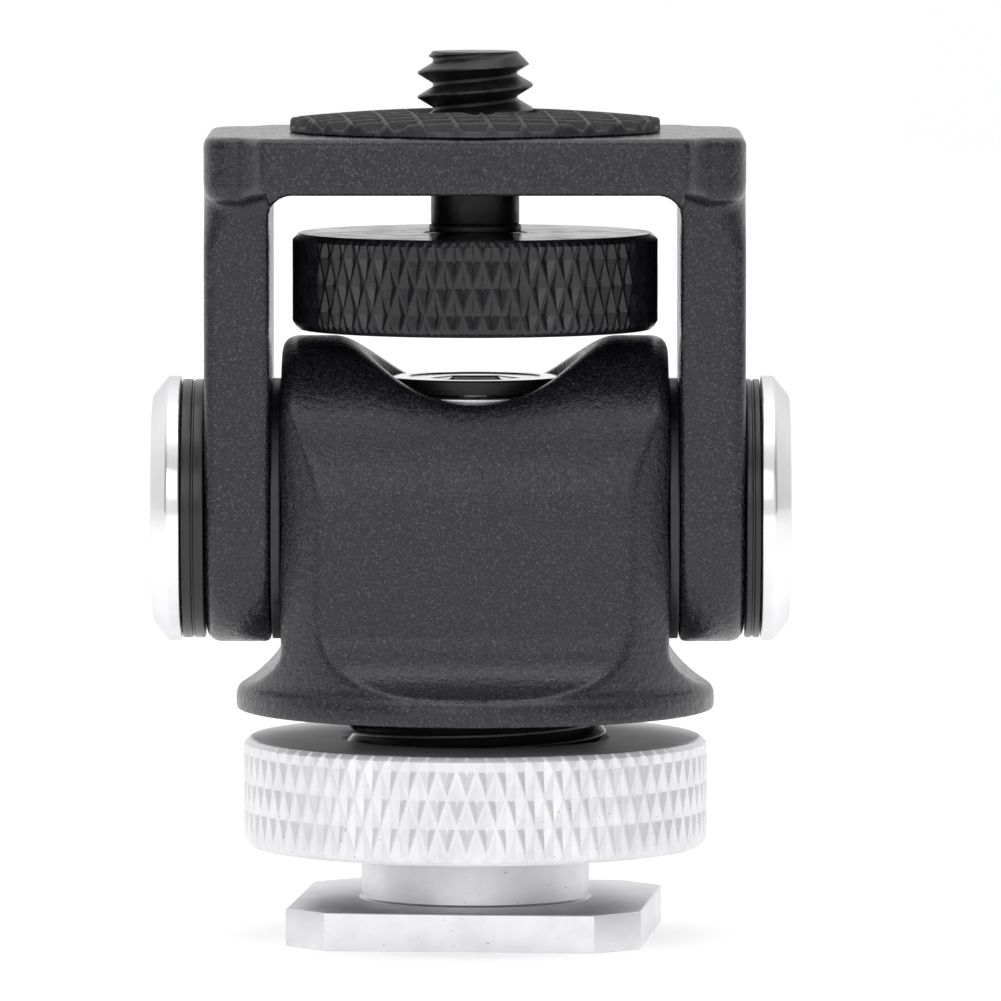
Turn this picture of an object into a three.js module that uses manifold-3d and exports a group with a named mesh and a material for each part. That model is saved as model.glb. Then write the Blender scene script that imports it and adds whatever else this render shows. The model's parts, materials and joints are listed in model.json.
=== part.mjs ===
// Tilt and swivel bracket: a cold shoe foot carries a swivelling body, the body carries a tilting yoke,
// and a captive 1/4-20 thumbscrew stands through the yoke's padded top plate.
// Millimetres, +Z up, origin at the centre of the foot's underside. X runs along the tilt axis.
import * as THREE from "three";
import { mergeVertices } from "three/addons/utils/BufferGeometryUtils.js";
import Module from "manifold-3d";

const wasm = await Module();
wasm.setup();

// ---------------------------------------------------------------- driving dimensions
const GAP = 0.05; // face to face clearance between pieces that bear on each other
const FIT = 0.1; // radial clearance of pieces that sit inside one another

const foot = { width: 18.6, depth: 18, thick: 2, chamfer: 2.25, turn: THREE.MathUtils.degToRad(-5.3) };
const stem = { shankR: 6, shankTop: 5, spigotR: 4.8, top: 11.95, boreR: 3, boreFloor: 5.5 };
const collar = {
  majorR: 6.9,
  minorR: 6.3,
  pitch: 1.25,
  crestZ: 5.1, // a height where the thread's crest passes the -X side
  bottom: 5.1,
  top: 12,
  boreR: 4.9,
  edge: 0.5,
};
const disc = { r: 12.2, bottom: 4.8, top: 10.5, boreR: 7.05, edge: 0.35, seatR: 9.45, seatDeep: 0.6 };
const body = {
  bottom: 12,
  rimTop: 13.2,
  rimR: 12.55,
  rimEdge: 0.3,
  neckR: 12.2,
  halfWidth: 10.1,
  shoulderR: 0.7,
  sideCoveTop: 15.5,
  sideCoveReach: 12.2,
  faceDepth: 9.1,
  faceCoveR: 3.6,
  faceCoveTop: 16.7,
};
const tilt = { z: 22.5, armR: 7 };
const valley = { floor: 28.33, radius: 7.4, slope: THREE.MathUtils.degToRad(37) };
const panBolt = { shankR: 2.9, bottom: 6.5, headR: 4.5, headBottom: 28.7, headTop: 29.46, socketAF: 4 };
const panSeat = { z: 28.15, r: 5.6 };
const panSpring = { innerR: 3.1, outerR: 5.3, thick: 0.35 };
const panBush = { innerR: 3.02, outerR: 3.95, bottom: 12.7, top: 28.05 };
const thrust = { innerR: 3.2, outerR: 6.8, thick: 0.44, pocketR: 7.2 };
const yoke = {
  innerX: 10.7,
  outerX: 14.1,
  under: 39.35,
  top: 42.3,
  endDepth: 8.2,
  midDepth: 9.95,
  midX: 10.8,
  easeX: 12.3,
  cornerR: 1.5,
  insideR: 1.2,
  screwHoleR: 2.75,
  bushHoleR: 4.05,
};
const pad = { r: 9.72, holeR: 3.6, thick: 0.85 };
const wheel = { r: 9.59, bottom: 31.98, top: 37.02, edge: 0.35, holeR: 2.75 };
const camera = {
  majorR: 3.02,
  minorR: 2.2,
  pitch: 1.27,
  crestZ: 44.12, // a height where the thread's crest passes the -X side
  shankR: 2.3,
  neckR: 2,
  spigotR: 2.65,
  top: 46.52,
};
const neck = { top: 37.5, ringR: 2.42 };

// Pieces of one tilt pivot, measured outwards along the tilt axis from the middle of the body. The right
// tension screw is done up further, so its ring and spring are thinner and its cap sits closer in.
const pivot = {
  insert: { from: 5.2, to: 10, outerR: 3, innerR: 2.1 },
  innerWasher: { from: 10.15, to: 10.65, innerR: 4.15, outerR: 6.85 },
  armBush: { from: 10.72, to: 14.08, innerR: 2.7, outerR: 3.95 },
  spacer: { from: 14.15, to: 15.34, innerR: 4.65, outerR: 6.8 },
  spring: { from: 14.17, to: 15.3, innerR: 2.75, outerR: 4.5, thick: 0.4 },
  cap: { from: 15.39, rim: 16.05, to: 16.93, r: 6.98, faceR: 6, boreR: 2.72, pocketR: 3.8, pocketAt: 15.99 },
  screw: { tip: 5.9, threadR: 2, shoulderAt: 10.3, shoulderR: 2.6, headAt: 16.04, headTo: 16.8, headR: 3.65 },
};
const doneUp = { left: 0, right: 0.43 };

// ---------------------------------------------------------------- geometry helpers
const DISC_SEGMENTS = 48; // the widest round pieces
const RING_SEGMENTS = 40; // caps, washers and rings
const BORE_SEGMENTS = 24; // shafts, bushes and holes
const CURVE_SEGMENTS = 8; // divisions of one curve of an outline
const THROUGH = 20; // half length of tools that pass right through a piece
const PROUD = 1; // how far other tools stand out of the piece that they cut or join

/** Revolves a closed profile of [radius, height] points, drawn anticlockwise, about the Z axis. */
function revolve(profile, segments = BORE_SEGMENTS) {
  const points = profile.map(([r, z]) => new THREE.Vector2(r, z));
  const onAxis = profile[0][0] === 0 && profile.at(-1)[0] === 0;
  if (!onAxis) points.push(points[0].clone());
  return new THREE.LatheGeometry(points, segments).rotateX(Math.PI / 2);
}

/** A washer, sleeve or plain ring between two heights. */
function ring(innerR, outerR, bottom, top, segments = BORE_SEGMENTS) {
  return revolve(
    [
      [innerR, bottom],
      [outerR, bottom],
      [outerR, top],
      [innerR, top],
    ],
    segments,
  );
}

/** A plain round bar between two heights. */
function bar(r, bottom, top, segments = BORE_SEGMENTS) {
  return revolve(
    [
      [0, bottom],
      [r, bottom],
      [r, top],
      [0, top],
    ],
    segments,
  );
}

/** Extrudes a shape of the XY plane along Z, from one height to another. */
function prism(shape, bottom, top) {
  const settings = { depth: top - bottom, bevelEnabled: false, curveSegments: CURVE_SEGMENTS };
  return new THREE.ExtrudeGeometry(shape, settings).translate(0, 0, bottom);
}

/** Extrudes an outline drawn in X and Z along Y, to the same distance on both sides. */
function prismAlongY(shape, halfLength) {
  return prism(shape, -halfLength, halfLength).rotateX(Math.PI / 2);
}

/** Extrudes an outline drawn in Y and Z along X, to the same distance on both sides. */
function prismAlongX(shape, halfLength) {
  return prismAlongY(shape, halfLength).rotateZ(Math.PI / 2);
}

/** A regular hexagon prism, as a key socket, given across its flats. */
function hexPrism(acrossFlats, bottom, top) {
  const height = top - bottom;
  const r = acrossFlats / Math.sqrt(3);
  const prismOnY = new THREE.CylinderGeometry(r, r, height, 6);
  return prismOnY.rotateX(Math.PI / 2).translate(0, 0, bottom + height / 2);
}

/** Turns a closed geometry into a solid that can be joined and cut. */
function solid(geometry) {
  const plain = (geometry.index ? geometry.toNonIndexed() : geometry).clone();
  plain.deleteAttribute("normal");
  plain.deleteAttribute("uv");
  const merged = mergeVertices(plain, 1e-4);
  const mesh = new wasm.Mesh({
    numProp: 3,
    vertProperties: merged.attributes.position.array,
    triVerts: new Uint32Array(merged.index.array),
  });
  return new wasm.Manifold(mesh);
}

/** Turns a solid back into a geometry. */
function geometryOf(made) {
  const mesh = made.getMesh();
  const geometry = new THREE.BufferGeometry();
  geometry.setAttribute("position", new THREE.BufferAttribute(new Float32Array(mesh.vertProperties), 3));
  geometry.setIndex(new THREE.BufferAttribute(new Uint32Array(mesh.triVerts), 1));
  geometry.computeVertexNormals();
  return geometry;
}

const joined = (first, ...others) => others.reduce((all, g) => all.add(solid(g)), solid(first));
const cut = (from, ...tools) => tools.reduce((left, g) => left.subtract(solid(g)), from);

/** Radius of a right-hand V thread at a point: the crest passes the -X side at crestZ. */
function threadRadius(x, y, z, { majorR, minorR, pitch, crestZ }) {
  const [flankSteepness, crestFlat] = [1.12, 0.06];
  const turn = Math.atan2(y, x) / (2 * Math.PI) - 0.5;
  const phase = (((z - crestZ) / pitch - turn) % 1 + 1) % 1;
  const fromCrest = 2 * Math.min(phase, 1 - phase);
  const sunk = THREE.MathUtils.clamp(fromCrest * flankSteepness - crestFlat, 0, 1);
  return majorR - (majorR - minorR) * sunk;
}

/** Cuts a helical thread into the side of a revolved piece between two heights, never standing proud. */
function threaded(geometry, thread, from, to) {
  const p = geometry.attributes.position;
  const rounding = 1e-4;
  for (let i = 0; i < p.count; i++) {
    const [x, y, z] = [p.getX(i), p.getY(i), p.getZ(i)];
    const r = Math.hypot(x, y);
    if (z < from - rounding || z > to + rounding || r < thread.minorR) continue;
    const scale = Math.min(r, threadRadius(x, y, z, thread)) / r;
    p.setXY(i, x * scale, y * scale);
  }
  return geometry;
}

/** Evenly spaced heights, both ends included. */
function heights(from, to, step) {
  const count = Math.ceil((to - from) / step);
  return Array.from({ length: count + 1 }, (_, i) => from + ((to - from) * i) / count);
}

// ---------------------------------------------------------------- materials
const surface = (color, roughness, metalness) =>
  new THREE.MeshStandardMaterial({ color, roughness, metalness });
const finish = {
  blackPaint: surface(0x2b2b2d, 0.62, 0.1),
  blackAnodised: surface(0x1d1d1f, 0.38, 0.6),
  blackPlastic: surface(0x1a1a1b, 0.5, 0),
  rubber: surface(0x232324, 0.8, 0),
  satinSilver: surface(0xd8d8da, 0.35, 0.9),
  polished: surface(0xeeeef0, 0.12, 1),
  springSteel: surface(0xb9bbc0, 0.25, 1),
  brass: surface(0xc2a04e, 0.35, 1),
  nylon: surface(0xd9d6cc, 0.6, 0),
};

const bracket = new THREE.Group();

/** Adds one named piece to the bracket, or to a group of it. */
function piece(name, geometry, material, parent = bracket) {
  const mesh = new THREE.Mesh(geometry, material);
  mesh.name = name;
  parent.add(mesh);
  return mesh;
}

// ---------------------------------------------------------------- cold shoe foot and pan pivot
function shoeFoot() {
  const [w, d, c] = [foot.width / 2, foot.depth / 2, foot.chamfer];
  const plate = new THREE.Shape();
  plate.moveTo(w, -d + c);
  plate.lineTo(w, d - c);
  plate.lineTo(w - c, d);
  plate.lineTo(-w + c, d);
  plate.lineTo(-w, d - c);
  plate.lineTo(-w, -d + c);
  plate.lineTo(-w + c, -d);
  plate.lineTo(w - c, -d);
  const made = joined(
    prism(plate, 0, foot.thick),
    bar(stem.shankR, foot.thick - PROUD, stem.shankTop, RING_SEGMENTS),
    bar(stem.spigotR, stem.shankTop - PROUD, stem.top, RING_SEGMENTS),
  );
  return geometryOf(cut(made, bar(stem.boreR, stem.boreFloor, stem.top + PROUD)));
}

function threadCollar() {
  const { majorR, minorR, bottom, top, boreR, edge, pitch } = collar;
  const side = heights(bottom + edge, top - edge, pitch / 3).map((z) => [majorR, z]);
  const profile = [[boreR, bottom], [minorR, bottom], ...side, [minorR, top], [boreR, top]];
  return threaded(revolve(profile), collar, bottom, top);
}

function clampDisc() {
  const { r, bottom, top, boreR, edge, seatR, seatDeep } = disc;
  return revolve(
    [
      [boreR, bottom + seatDeep],
      [seatR, bottom + seatDeep],
      [seatR, bottom],
      [r - edge, bottom],
      [r, bottom + edge],
      [r, top - edge],
      [r - edge, top],
      [boreR, top],
    ],
    DISC_SEGMENTS,
  );
}

function clampWasher() {
  const [bottom, top] = [disc.bottom + GAP, disc.bottom + disc.seatDeep - GAP];
  return ring(disc.boreR + GAP, disc.seatR - FIT, bottom, top, RING_SEGMENTS);
}

function panBoltSolid() {
  const { shankR, bottom, headR, headBottom, headTop, socketAF } = panBolt;
  const [tipTaper, headEdge, dishR, dishDeep, socketDeep] = [0.5, 0.12, 3.55, 0.2, 2];
  const turned = revolve(
    [
      [0, bottom],
      [shankR - tipTaper, bottom],
      [shankR, bottom + tipTaper],
      [shankR, headBottom],
      [headR, headBottom],
      [headR, headTop - headEdge],
      [headR - headEdge, headTop],
      [dishR, headTop],
      [dishR, headTop - dishDeep],
      [0, headTop - dishDeep],
    ],
    RING_SEGMENTS,
  );
  return geometryOf(cut(solid(turned), hexPrism(socketAF, headTop - socketDeep, headTop + PROUD)));
}

/** A cone-shaped spring washer: its inner edge stands higher than its outer edge. */
function coneWasher(innerR, outerR, bottom, top, thick, segments = BORE_SEGMENTS) {
  return revolve(
    [
      [innerR, top - thick],
      [outerR, bottom],
      [outerR, bottom + thick],
      [innerR, top],
    ],
    segments,
  );
}

// ---------------------------------------------------------------- swivel body
/** Side outline in Y and Z: round on top about the tilt axis, upright faces, coved out to the rim. */
function bodySideOutline() {
  const { bottom, rimTop, rimR, faceDepth, faceCoveR, faceCoveTop } = body;
  const half = rimR + PROUD;
  const centreY = faceDepth + faceCoveR;
  const startAngle = Math.PI - Math.asin((faceCoveTop - rimTop) / faceCoveR);
  const startY = centreY + faceCoveR * Math.cos(startAngle);
  const shape = new THREE.Shape();
  shape.moveTo(-half, bottom);
  shape.lineTo(half, bottom);
  shape.lineTo(half, rimTop);
  shape.lineTo(startY, rimTop);
  shape.absarc(centreY, faceCoveTop, faceCoveR, -startAngle, -Math.PI, true);
  shape.lineTo(faceDepth, tilt.z);
  shape.absarc(0, tilt.z, faceDepth, 0, Math.PI, false);
  shape.lineTo(-faceDepth, faceCoveTop);
  shape.absarc(-centreY, faceCoveTop, faceCoveR, 0, startAngle - Math.PI, true);
  shape.lineTo(-half, rimTop);
  return shape;
}

/** Front outline in X and Z: flat sides for the washers, coved out to the rim, shoulders rounded off. */
function bodyFrontOutline() {
  const { bottom, rimTop, rimR, halfWidth, shoulderR, sideCoveTop, sideCoveReach } = body;
  const half = rimR + PROUD;
  const top = tilt.z + body.faceDepth;
  const coveMid = (rimTop + sideCoveTop) / 2;
  const shape = new THREE.Shape();
  shape.moveTo(-half, bottom);
  shape.lineTo(half, bottom);
  shape.lineTo(half, rimTop);
  shape.lineTo(sideCoveReach, rimTop);
  shape.quadraticCurveTo(halfWidth, coveMid, halfWidth, sideCoveTop);
  shape.lineTo(halfWidth, top - shoulderR);
  shape.absarc(halfWidth - shoulderR, top - shoulderR, shoulderR, 0, Math.PI / 2, false);
  shape.lineTo(-halfWidth + shoulderR, top);
  shape.absarc(-halfWidth + shoulderR, top - shoulderR, shoulderR, Math.PI / 2, Math.PI, false);
  shape.lineTo(-halfWidth, sideCoveTop);
  shape.quadraticCurveTo(-halfWidth, coveMid, -sideCoveReach, rimTop);
  shape.lineTo(-half, rimTop);
  return shape;
}

/** The V-shaped saddle cut through the top of the body, open upwards, with a round floor. */
function saddleOutline() {
  const { floor, radius, slope } = valley;
  const [halfTop, clearAbove] = [13, 6];
  const [touchX, touchZ] = [radius * Math.sin(slope), floor + radius * (1 - Math.cos(slope))];
  const rise = (halfTop - touchX) * Math.tan(slope);
  const shape = new THREE.Shape();
  shape.moveTo(-halfTop, touchZ + rise);
  shape.lineTo(-touchX, touchZ);
  shape.absarc(0, floor + radius, radius, -Math.PI / 2 - slope, -Math.PI / 2 + slope, false);
  shape.lineTo(halfTop, touchZ + rise);
  shape.lineTo(halfTop, touchZ + rise + clearAbove);
  shape.lineTo(-halfTop, touchZ + rise + clearAbove);
  return shape;
}

function swivelBody() {
  const { bottom, rimTop, rimR, rimEdge, neckR, faceDepth } = body;
  const above = tilt.z + faceDepth + PROUD;
  const below = bottom - PROUD;
  const column = revolve(
    [
      [0, bottom],
      [rimR - rimEdge, bottom],
      [rimR, bottom + rimEdge],
      [rimR, rimTop - rimEdge],
      [rimR - rimEdge, rimTop],
      [neckR, rimTop],
      [neckR, above],
      [0, above],
    ],
    DISC_SEGMENTS,
  );
  const shell = solid(column)
    .intersect(solid(prismAlongX(bodySideOutline(), THROUGH)))
    .intersect(solid(prismAlongY(bodyFrontOutline(), THROUGH)));
  const insertSeat = bar(pivot.insert.outerR + FIT, pivot.insert.from - FIT, THROUGH);
  return geometryOf(
    cut(
      shell,
      prismAlongY(saddleOutline(), THROUGH),
      bar(panSeat.r, panSeat.z, above, RING_SEGMENTS),
      bar(panBush.outerR + FIT, below, above, RING_SEGMENTS),
      bar(thrust.pocketR, below, collar.top + thrust.thick + 2 * GAP, RING_SEGMENTS),
      insertSeat.clone().rotateY(Math.PI / 2).translate(0, 0, tilt.z),
      insertSeat.clone().rotateY(-Math.PI / 2).translate(0, 0, tilt.z),
    ),
  );
}

// ---------------------------------------------------------------- tilt pivots, one on each side
function capGeometry() {
  const { from, rim, to, r, faceR, boreR, pocketR, pocketAt } = pivot.cap;
  return revolve(
    [
      [boreR, from],
      [r, from],
      [r, rim],
      [faceR, to],
      [pocketR, to],
      [pocketR, pocketAt],
      [boreR, pocketAt],
    ],
    RING_SEGMENTS,
  );
}

function tiltScrewGeometry(inset) {
  const { tip, threadR, shoulderAt, shoulderR, headR } = pivot.screw;
  const [headAt, headTo] = [pivot.screw.headAt - inset, pivot.screw.headTo - inset];
  const [tipTaper, headEdge, socketAF, socketDeep] = [0.4, 0.2, 3, 2];
  const turned = revolve([
    [0, tip],
    [threadR - tipTaper, tip],
    [threadR, tip + tipTaper],
    [threadR, shoulderAt],
    [shoulderR, shoulderAt],
    [shoulderR, headAt],
    [headR, headAt],
    [headR, headTo - headEdge],
    [headR - headEdge, headTo],
    [0, headTo],
  ]);
  return geometryOf(cut(solid(turned), hexPrism(socketAF, headTo - socketDeep, headTo + PROUD)));
}

function tiltPivot(side, turn) {
  const { insert, innerWasher, armBush, spacer, spring } = pivot;
  const inset = doneUp[side];
  const sleeve = ({ innerR, outerR, from, to }, segments) => ring(innerR, outerR, from, to, segments);
  const axis = new THREE.Group();
  axis.position.z = tilt.z;
  axis.rotation.y = Math.PI / 2;
  const group = new THREE.Group();
  group.rotation.z = turn;
  group.add(axis);
  bracket.add(group);
  piece(`${side}_pivot_insert`, sleeve(insert), finish.brass, axis);
  piece(`${side}_inner_washer`, sleeve(innerWasher, RING_SEGMENTS), finish.blackPlastic, axis);
  piece(`${side}_arm_bush`, sleeve(armBush), finish.nylon, axis);
  const spacerRing = sleeve({ ...spacer, to: spacer.to - inset }, RING_SEGMENTS);
  piece(`${side}_spacer_ring`, spacerRing, finish.blackAnodised, axis);
  const cone = coneWasher(spring.innerR, spring.outerR, spring.from, spring.to - inset, spring.thick);
  piece(`${side}_spring_washer`, cone, finish.springSteel, axis);
  piece(`${side}_cap`, capGeometry().translate(0, 0, -inset), finish.polished, axis);
  piece(`${side}_tilt_screw`, tiltScrewGeometry(inset), finish.blackAnodised, axis);
}

// ---------------------------------------------------------------- yoke
/** Plan of the top plate: a wide middle that carries the pad, easing back to narrower rounded ends. */
function plateOutline() {
  const { outerX, endDepth, midDepth, midX, easeX, cornerR } = yoke;
  const quarter = heights(midX, easeX, 0.3).map((x) => {
    const eased = THREE.MathUtils.smoothstep(x, midX, easeX);
    return [x, THREE.MathUtils.lerp(midDepth, endDepth, eased)];
  });
  for (const angle of heights(0, Math.PI / 2, Math.PI / 10)) {
    const acrossX = outerX - cornerR + cornerR * Math.sin(angle);
    quarter.push([acrossX, endDepth - cornerR + cornerR * Math.cos(angle)]);
  }
  const right = [...quarter, ...quarter.toReversed().map(([x, y]) => [x, -y])];
  const left = right.toReversed().map(([x, y]) => [-x, y]);
  return new THREE.Shape([...right, ...left].map(([x, y]) => new THREE.Vector2(x, y)));
}

/** Front outline of both arms and the bar that joins them, with rounded inside corners. */
function archOutline() {
  const { innerX, outerX, under, top, insideR } = yoke;
  const bottom = tilt.z - tilt.armR;
  const shape = new THREE.Shape();
  shape.moveTo(-outerX, bottom);
  shape.lineTo(-innerX, bottom);
  shape.lineTo(-innerX, under - insideR);
  shape.absarc(-innerX + insideR, under - insideR, insideR, Math.PI, Math.PI / 2, true);
  shape.lineTo(innerX - insideR, under);
  shape.absarc(innerX - insideR, under - insideR, insideR, Math.PI / 2, 0, true);
  shape.lineTo(innerX, bottom);
  shape.lineTo(outerX, bottom);
  shape.lineTo(outerX, top);
  shape.lineTo(-outerX, top);
  return shape;
}

/** Side outline of an arm: straight edges with a round lower end about the tilt axis. */
function armSideOutline() {
  const shape = new THREE.Shape();
  shape.moveTo(tilt.armR, yoke.top);
  shape.lineTo(-tilt.armR, yoke.top);
  shape.lineTo(-tilt.armR, tilt.z);
  shape.absarc(0, tilt.z, tilt.armR, Math.PI, 2 * Math.PI, false);
  return shape;
}

/** Front outline of the shoulder that carries the plate's ends down onto one arm. */
function shoulderOutline() {
  const { innerX, outerX, under, cornerR } = yoke;
  const [bendX, bendDrop, drop] = [1.9, 0.5, 2.4]; // where the curve starts, its fall there and in all
  const shape = new THREE.Shape();
  shape.moveTo(innerX, under);
  shape.lineTo(outerX - bendX, under - bendDrop);
  shape.quadraticCurveTo(outerX, under - bendDrop, outerX, under - drop);
  shape.lineTo(outerX, yoke.top - cornerR);
  shape.lineTo(innerX, yoke.top - cornerR);
  return shape;
}

function yokeSolid() {
  const arms = solid(prismAlongY(archOutline(), tilt.armR)).intersect(
    solid(prismAlongX(armSideOutline(), THROUGH)),
  );
  const plan = solid(prism(plateOutline(), tilt.z, yoke.top));
  const shoulder = prismAlongY(shoulderOutline(), yoke.endDepth);
  const shoulders = joined(shoulder, shoulder.clone().rotateZ(Math.PI)).intersect(plan);
  const plate = solid(prism(plateOutline(), yoke.under, yoke.top));
  const bushHole = bar(yoke.bushHoleR, -THROUGH, THROUGH).rotateY(Math.PI / 2).translate(0, 0, tilt.z);
  const screwHole = bar(yoke.screwHoleR, yoke.under - PROUD, yoke.top + PROUD);
  return geometryOf(cut(arms.add(shoulders).add(plate), bushHole, screwHole));
}

// ---------------------------------------------------------------- pad and thumbscrew
function thumbWheel() {
  const { r, bottom, top, edge, holeR } = wheel;
  return revolve(
    [
      [holeR, bottom],
      [r - edge, bottom],
      [r, bottom + edge],
      [r, top - edge],
      [r - edge, top],
      [holeR, top],
    ],
    DISC_SEGMENTS,
  );
}

function cameraScrew() {
  const { majorR, minorR, pitch, shankR, neckR, spigotR, top } = camera;
  const threadFrom = yoke.top + GAP;
  const [runIn, leadIn, spigotFrom] = [0.4, 0.85, wheel.bottom + 0.2];
  const side = heights(threadFrom + runIn, top - leadIn, pitch / 5).map((z) => [majorR, z]);
  const profile = [
    [0, spigotFrom],
    [spigotR, spigotFrom],
    [spigotR, wheel.top],
    [neckR, wheel.top],
    [neckR, neck.top],
    [shankR, neck.top],
    [shankR, threadFrom],
    ...side,
    [(majorR + minorR) / 2, top - leadIn / 2],
    [minorR, top],
    [0, top],
  ];
  return threaded(revolve(profile), camera, threadFrom, top);
}

// ---------------------------------------------------------------- assembly
piece("shoe_foot", shoeFoot(), finish.satinSilver).rotation.z = foot.turn;
piece("thread_collar", threadCollar(), finish.blackAnodised);
piece("clamp_washer", clampWasher(), finish.blackPlastic);
piece("clamp_disc", clampDisc(), finish.satinSilver);
const thrustBottom = collar.top + GAP;
const thrustTop = thrustBottom + thrust.thick;
const thrustRing = ring(thrust.innerR, thrust.outerR, thrustBottom, thrustTop, RING_SEGMENTS);
piece("pan_thrust_washer", thrustRing, finish.nylon);
piece("pan_bush", ring(panBush.innerR, panBush.outerR, panBush.bottom, panBush.top), finish.brass);
const { innerR, outerR, thick } = panSpring;
const panCone = coneWasher(innerR, outerR, panSeat.z + GAP, panBolt.headBottom - GAP, thick, RING_SEGMENTS);
piece("pan_spring_washer", panCone, finish.springSteel);
piece("pan_bolt", panBoltSolid(), finish.polished);
piece("swivel_body", swivelBody(), finish.blackPaint);
tiltPivot("right", 0);
tiltPivot("left", Math.PI);
piece("yoke", yokeSolid(), finish.blackPaint);
const padBottom = yoke.top + GAP;
piece("top_pad", ring(pad.holeR, pad.r, padBottom, padBottom + pad.thick, RING_SEGMENTS), finish.rubber);
piece("thumb_wheel", thumbWheel(), finish.blackAnodised);
const bufferRing = ring(camera.neckR + FIT, neck.ringR, wheel.top + GAP, neck.top - GAP);
piece("buffer_ring", bufferRing, finish.blackPlastic);
piece("camera_screw", cameraScrew(), finish.blackAnodised);

export default bracket;
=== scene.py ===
"""Studio scene of a cold shoe tilt and swivel mount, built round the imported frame."""
import json
import math

import bpy
import numpy as np
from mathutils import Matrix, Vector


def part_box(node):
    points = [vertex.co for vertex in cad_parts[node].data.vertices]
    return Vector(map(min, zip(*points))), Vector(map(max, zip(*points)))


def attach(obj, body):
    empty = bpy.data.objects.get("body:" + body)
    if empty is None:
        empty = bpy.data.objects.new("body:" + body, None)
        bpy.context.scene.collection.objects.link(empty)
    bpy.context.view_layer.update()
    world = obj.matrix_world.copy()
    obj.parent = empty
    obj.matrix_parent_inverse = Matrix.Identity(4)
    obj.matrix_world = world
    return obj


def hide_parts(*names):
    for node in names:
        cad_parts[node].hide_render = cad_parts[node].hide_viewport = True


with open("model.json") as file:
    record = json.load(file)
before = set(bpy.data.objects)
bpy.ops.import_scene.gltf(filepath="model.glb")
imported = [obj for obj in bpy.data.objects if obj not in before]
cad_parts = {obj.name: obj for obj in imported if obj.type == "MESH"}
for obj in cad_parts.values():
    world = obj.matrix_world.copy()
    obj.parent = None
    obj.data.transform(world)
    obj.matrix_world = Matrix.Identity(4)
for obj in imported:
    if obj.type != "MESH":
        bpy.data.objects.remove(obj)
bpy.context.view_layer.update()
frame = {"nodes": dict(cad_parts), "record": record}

import openvdb
from mathutils import Vector

MM = 0.001  # the shapes below are worked out in millimetres


# ------------------------------------------------------------------ sizes read from the frame, in millimetres
def box_mm(node):
    """Lowest and highest corner of a CAD node."""
    low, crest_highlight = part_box(node)
    return np.array(low) / MM, np.array(crest_highlight) / MM


def joint(name):
    """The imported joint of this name."""
    return next(j for j in frame["record"]["behaviour"]["joints"] if j["name"] == name)


TILT_Z = joint("tilt")["pos_m"][2] / MM
FOOT_TURN = math.radians(-5.3)  # the foot is held a little askew of the tilt axis

body_low, body_high = box_mm("swivel_body")
yoke_low, yoke_high = box_mm("yoke")
disc_low, disc_high = box_mm("clamp_disc")
wheel_low, wheel_high = box_mm("thumb_wheel")
collar_low, collar_high = box_mm("thread_collar")
pad_low, pad_high = box_mm("top_pad")
screw_low, screw_high = box_mm("camera_screw")
ring_low, ring_high = box_mm("buffer_ring")
bolt_low, bolt_high = box_mm("pan_bolt")
spring_low, spring_high = box_mm("pan_spring_washer")
thrust_top = box_mm("pan_thrust_washer")[1][2]


# ------------------------------------------------------------------ mesh helpers
def add_piece(name, points, faces, body, nodes, material, crease=35.0):
    """Makes one visible piece from points in millimetres, which rides on a body and stands for CAD nodes."""
    mesh = bpy.data.meshes.new(name)
    mesh.from_pydata((np.asarray(points, dtype=float) * MM).tolist(), [], faces)
    mesh.update()
    mesh.shade_smooth()
    mesh.set_sharp_from_angle(angle=math.radians(crease))
    mesh.materials.append(material)
    piece = bpy.data.objects.new(name, mesh)
    bpy.context.scene.collection.objects.link(piece)
    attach(piece, body)
    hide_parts(*nodes)
    return piece


def filleted(outline, radius, closed=True, steps=4):
    """Rounds an outline of (radius, height) points; a third value is that corner's own radius."""
    count, share = len(outline), 0.48  # share is how much of a side one corner may use
    made = []
    for i, corner in enumerate(outline):
        here = np.array(corner[:2], dtype=float)
        if not closed and i in (0, count - 1):
            made.append(tuple(here))
            continue
        r = corner[2] if len(corner) > 2 else radius
        to_last = np.array(outline[i - 1][:2], dtype=float) - here
        to_next = np.array(outline[(i + 1) % count][:2], dtype=float) - here
        a, b = np.linalg.norm(to_last), np.linalg.norm(to_next)
        u, v = to_last / a, to_next / b
        half = math.acos(max(-1.0, min(1.0, float(u @ v)))) / 2
        cut = min(r / max(math.tan(half), 1e-6), share * a, share * b)
        if r <= 0 or half > math.radians(88):
            made.append(tuple(here))
            continue
        start, end = here + u * cut, here + v * cut
        for t in np.linspace(0, 1, steps + 1):
            # a quadratic curve that touches both sides, close to the arc
            made.append(tuple((1 - t) ** 2 * start + 2 * t * (1 - t) * here + t**2 * end))
    return made


def bridged(rings, closed=False, cap_first=False, cap_last=False):
    """Points and quads of a skin over rings that all hold the same number of points."""
    rings = np.asarray(rings, dtype=float)
    m, n, _ = rings.shape
    faces = []
    for i in range(m if closed else m - 1):
        low, crest_highlight = i * n, ((i + 1) % m) * n
        faces += [(low + j, low + (j + 1) % n, crest_highlight + (j + 1) % n, crest_highlight + j) for j in range(n)]
    if cap_first:
        faces.append(tuple(range(n - 1, -1, -1)))
    if cap_last:
        faces.append(tuple((m - 1) * n + j for j in range(n)))
    return rings.reshape(-1, 3), faces


def circle(radius, height, segments):
    """A ring of points, anticlockwise from above, that starts at the front."""
    t = np.arange(segments) * 2 * math.pi / segments
    return np.stack([radius * np.sin(t), -radius * np.cos(t), np.full(segments, height)], axis=1)


def turned(profile, segments=128, closed=True):
    """A skin of revolution about Z. An open profile is capped at both ends."""
    rings = [circle(r, z, segments) for r, z in profile]
    return bridged(rings, closed=closed, cap_first=not closed, cap_last=not closed)


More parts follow.
